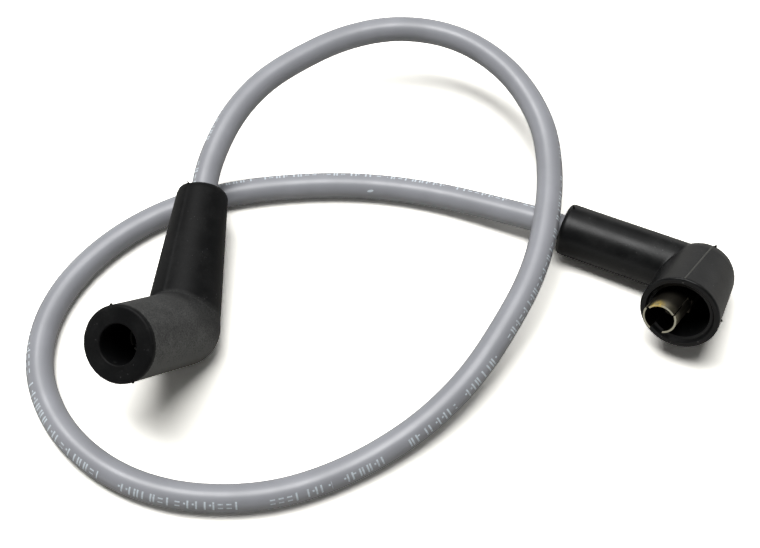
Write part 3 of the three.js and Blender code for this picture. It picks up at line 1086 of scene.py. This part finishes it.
def ribbon(bm, points, width, thickness):
    """A flat strip of sheet along points in the local XZ plane."""
    rings = []
    side = Vector((0, width / 2, 0))
    for i, point in enumerate(points):
        ahead = points[min(i + 1, len(points) - 1)] - points[max(i - 1, 0)]
        ahead.normalize()
        up = Vector((-ahead.z, 0, ahead.x)) * thickness / 2
        rings.append((point - up - side, point + up - side, point + up + side, point - up + side))
    bridged(bm, rings)


def barrel_body(barrel, stand):
    """The closed-bottomed tube of the barrel, as a spun shape in the boot's own frame."""
    radius, sheet, round_by = barrel["radius"], barrel["sheet"], barrel["base_round"]
    base = barrel["top"] - barrel["length"]
    bm = bmesh.new()
    profile = [(0, base)]
    profile += arc(radius - round_by, base + round_by, round_by, -90, 0)
    profile += [(radius, barrel["top"]), (radius - sheet, barrel["top"])]
    profile += arc(radius - round_by, base + round_by, round_by - sheet, 0, -90)
    profile += [(0, base + sheet)]
    lathe(bm, profile, stand, 144)
    return bm


def barrel_slots(barrel, stand):
    """The boxes that slit the barrel into its petals."""
    bm = bmesh.new()
    reach = barrel["radius"] + 1
    for turn, width in barrel["slots"]:
        size = Vector((reach, width, barrel["slot_depth"] + 1))
        middle = Vector((reach / 2, 0, barrel["top"] + 1 - size.z / 2))
        turned = stand @ Matrix.Rotation(math.radians(turn), 4, "Z")
        box = turned @ Matrix.Translation(middle * MM) @ Matrix.Diagonal((*(size * MM), 1))
        bmesh.ops.create_cube(bm, size=1.0, matrix=box)
    return bm


def bend_petals(obj, barrel, stand):
    """Bends each petal about the foot of its slots, in the boot's own frame."""
    back = stand.inverted()
    foot = barrel["top"] - barrel["slot_depth"]
    for vertex in obj.data.vertices:
        place = back @ vertex.co / MM
        turn = math.degrees(math.atan2(place.y, place.x))
        risen = max(0.0, (place.z - foot) / barrel["slot_depth"])
        for start, end, bend in PETALS:
            if start <= turn < end or start <= turn + 360 < end:
                middle = math.radians((start + end) / 2)
                out = Vector((math.cos(middle), math.sin(middle), 0))
                place += out * bend * risen * risen
                break
        vertex.co = stand @ (place * MM)


def strap_and_crimp(barrel):
    """The strap from the barrel's wall to the sleeve's, and the crimp round the cable."""
    bm = bmesh.new()
    a = math.radians(barrel["angle"])
    along = Vector((math.cos(a), 0, math.sin(a)))
    outward = Vector((-along.z, 0, along.x))
    wall = Vector((barrel["offset"], 0, 0)) + outward * (barrel["radius"] - barrel["sheet"] / 2)
    corner = wall + along * ((-CRIMP_WALL - wall.z) / along.z)
    strip = [wall + along * (barrel["top"] - barrel["length"] + 2)]
    steps = 8
    for i in range(steps + 1):
        t = i / steps
        before = corner + along * STRAP_BEND * (1 - t)
        strip.append(before.lerp(corner + Vector((STRAP_BEND * t, 0, 0)), t))
    crimp_start = CAP_BOOT["crimp_at"]
    crimp_end = crimp_start + CRIMP_LENGTH
    strip.append(Vector((crimp_start + 2, 0, -CRIMP_WALL)))
    ribbon(bm, strip, STRAP_WIDTH, barrel["sheet"])
    crimp = [
        (CRIMP_INSIDE, crimp_start),
        (CRIMP_OUTSIDE, crimp_start),
        (CRIMP_OUTSIDE, crimp_end),
        (CRIMP_INSIDE, crimp_end),
    ]
    lathe(bm, crimp, axis_matrix(0), 60, 349.0, 185.5)
    return bm


class LEAD_OT_distributor_terminal(bpy.types.Operator):
    """Make the slotted barrel that stands in the distributor boot's cup"""

    bl_idname = "lead.distributor_terminal"
    bl_label = "Distributor terminal"

    def execute(self, context):
        barrel = CAP_BARREL
        stand = axis_matrix(barrel["angle"], barrel["offset"])
        obj = new_object("distributor_barrel", barrel_body(barrel, stand))
        cut(obj, barrel_slots(barrel, stand))
        bend_petals(obj, barrel, stand)
        soften = obj.modifiers.new("soften", "BEVEL")
        soften.width = 0.09 * MM
        soften.segments = 2
        soften.limit_method = "ANGLE"
        bake_modifiers(obj)
        add_details(obj, strap_and_crimp(barrel))
        obj.data.transform(boot_matrix(CAP_BOOT))
        shade(obj, 30)
        values = context.scene.lead_metal
        placed = boot_matrix(CAP_BOOT) @ stand
        # The bright point, round which the barrel's tip gets a painted highlight.
        turn = math.radians(GLINT_TURN)
        wear_and_glint = barrel["radius"] * Vector((math.cos(turn), math.sin(turn), 0))
        tip = Vector((0, 0, barrel["top"]))
        material = barrel_material(
            "brass_sheet",
            tuple(values.brass),
            tuple(values.tarnish_and_shade),
            0.28,
            tip=tuple(placed @ (tip * MM)),
            axis=tuple(placed.to_3x3() @ Vector((0, 0, 1))),
            bright=tuple(placed @ ((tip + wear_and_glint) * MM)),
        )
        obj.data.materials.clear()
        obj.data.materials.append(material)
        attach(obj, "root")
        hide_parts("distributor_terminal")
        return {"FINISHED"}


class LEAD_OT_hidden_metal(bpy.types.Operator):
    """Finish the spark plug terminal and the cable's inner layers"""

    bl_idname = "lead.hidden_metal"
    bl_label = "Inner pieces"

    def execute(self, context):
        steel = sheet_material("plated_sheet", (0.5, 0.49, 0.46), (0.36, 0.35, 0.32), 0.35)
        finishes = {
            "plug_terminal": steel,
            "plug_terminal_spring": steel,
            "cable_insulation": plain_material("insulation", (0.68, 0.66, 0.58), 0.6, 900.0),
            "conductor_core": plain_material("core_yarn", (0.013, 0.013, 0.014), 0.8, 2000.0),
        }
        for name, material in finishes.items():
            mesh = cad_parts[name].data
            mesh.materials.clear()
            mesh.materials.append(material)
        return {"FINISHED"}


# Camera and lamps, in metres
CAMERA_PLACE = (-0.0117, -0.1574, 0.2756)
CAMERA_TILT = 32  # degrees off straight down
CAMERA_LENS = 56.37

# Each lamp's name, place, size and power. All are turned to LAMP_SIDE, as seen from above
LAMPS = (
    ("light_strip", (-0.18, 0.14, 0.93), (0.84, 0.4), 8.5),
    ("light_behind", (0.0, 0.6, 0.85), (0.9, 0.9), 1.4),
)
LAMP_SIDE = (-0.84, 0.54, 0)
CEILING_STRENGTH = 0.05


class LEAD_OT_stage(bpy.types.Operator):
    """Set up the camera, the white paper and the soft lights"""

    bl_idname = "lead.stage"
    bl_label = "Stage"

    def execute(self, context):
        scene = context.scene
        camera = bpy.data.objects.new("camera", bpy.data.cameras.new("camera"))
        camera.data.lens = CAMERA_LENS
        camera.data.sensor_width = 36
        camera.data.clip_start = 0.01
        camera.location = CAMERA_PLACE
        camera.rotation_euler = (math.radians(CAMERA_TILT), 0, 0)
        scene.collection.objects.link(camera)
        scene.camera = camera
        scene.view_settings.view_transform = "Standard"

        bm = bmesh.new()
        bmesh.ops.create_grid(bm, x_segments=1, y_segments=1, size=1.5)
        floor = new_object("floor", bm)
        floor.data.materials.append(floor_material("paper", 0.5, (0.8, 0.8, 0.6)))

        for name, place, size, power in LAMPS:
            light = bpy.data.lights.new(name, "AREA")
            light.shape = "RECTANGLE"
            light.size, light.size_y = size
            light.energy = power
            towards = Vector(place).normalized()
            across = towards.cross(Vector(LAMP_SIDE).cross(towards)).normalized()
            turn = Matrix((across, towards.cross(across), towards)).transposed()
            lamp = bpy.data.objects.new(name, light)
            lamp.location = place
            lamp.rotation_euler = turn.to_euler()
            scene.collection.objects.link(lamp)

        world = bpy.data.worlds.new("world")
        world.use_nodes = True
        tree = world.node_tree
        background = tree.nodes["Background"]
        background.inputs["Color"].default_value = (1.0, 1.0, 1.0, 1.0)
        direction = node(tree, "ShaderNodeTexCoord").outputs["Generated"]
        height = node(tree, "ShaderNodeSeparateXYZ", {0: direction}).outputs["Z"]
        low = stepped(tree, height, 0.05, 0.25, 1.0, 0.0)
        camera_ray, off_piece = background_rays(tree)
        seen = highest(tree, camera_ray, product(tree, off_piece, low))
        strength = stepped(tree, seen, 0.0, 1.0, CEILING_STRENGTH, 1.0)
        tree.links.new(strength, background.inputs["Strength"])
        scene.world = world
        return {"FINISHED"}


class LEAD_PT_panel(bpy.types.Panel):
    """The lead's sizes and colours, and a button for each piece"""

    bl_label = "Ignition lead"
    bl_idname = "LEAD_PT_panel"
    bl_space_type = "VIEW_3D"
    bl_region_type = "UI"
    bl_category = "Lead"

    def draw(self, context):
        for group in ("lead_cable", "lead_boots", "lead_metal"):
            values = getattr(context.scene, group)
            for name in values.__annotations__:
                self.layout.prop(values, name)
        for operator in OPERATORS:
            self.layout.operator(operator.bl_idname)


OPERATORS = (
    LEAD_OT_stage,
    LEAD_OT_cable,
    LEAD_OT_plug_boot,
    LEAD_OT_distributor_boot,
    LEAD_OT_distributor_terminal,
    LEAD_OT_hidden_metal,
)
GROUPS = {"lead_cable": LeadCable, "lead_boots": LeadBoots, "lead_metal": LeadMetal}


def register():
    for name, group in GROUPS.items():
        bpy.utils.register_class(group)
        setattr(bpy.types.Scene, name, bpy.props.PointerProperty(type=group))
    for cls in (*OPERATORS, LEAD_PT_panel):
        bpy.utils.register_class(cls)


def unregister():
    for cls in reversed((*OPERATORS, LEAD_PT_panel)):
        bpy.utils.unregister_class(cls)
    for name, group in GROUPS.items():
        delattr(bpy.types.Scene, name)
        bpy.utils.unregister_class(group)


def main():
    register()
    bpy.ops.lead.stage()
    bpy.ops.lead.cable()
    bpy.ops.lead.plug_boot()
    bpy.ops.lead.distributor_boot()
    bpy.ops.lead.distributor_terminal()
    bpy.ops.lead.hidden_metal()


if __name__ == "__main__":
    main()
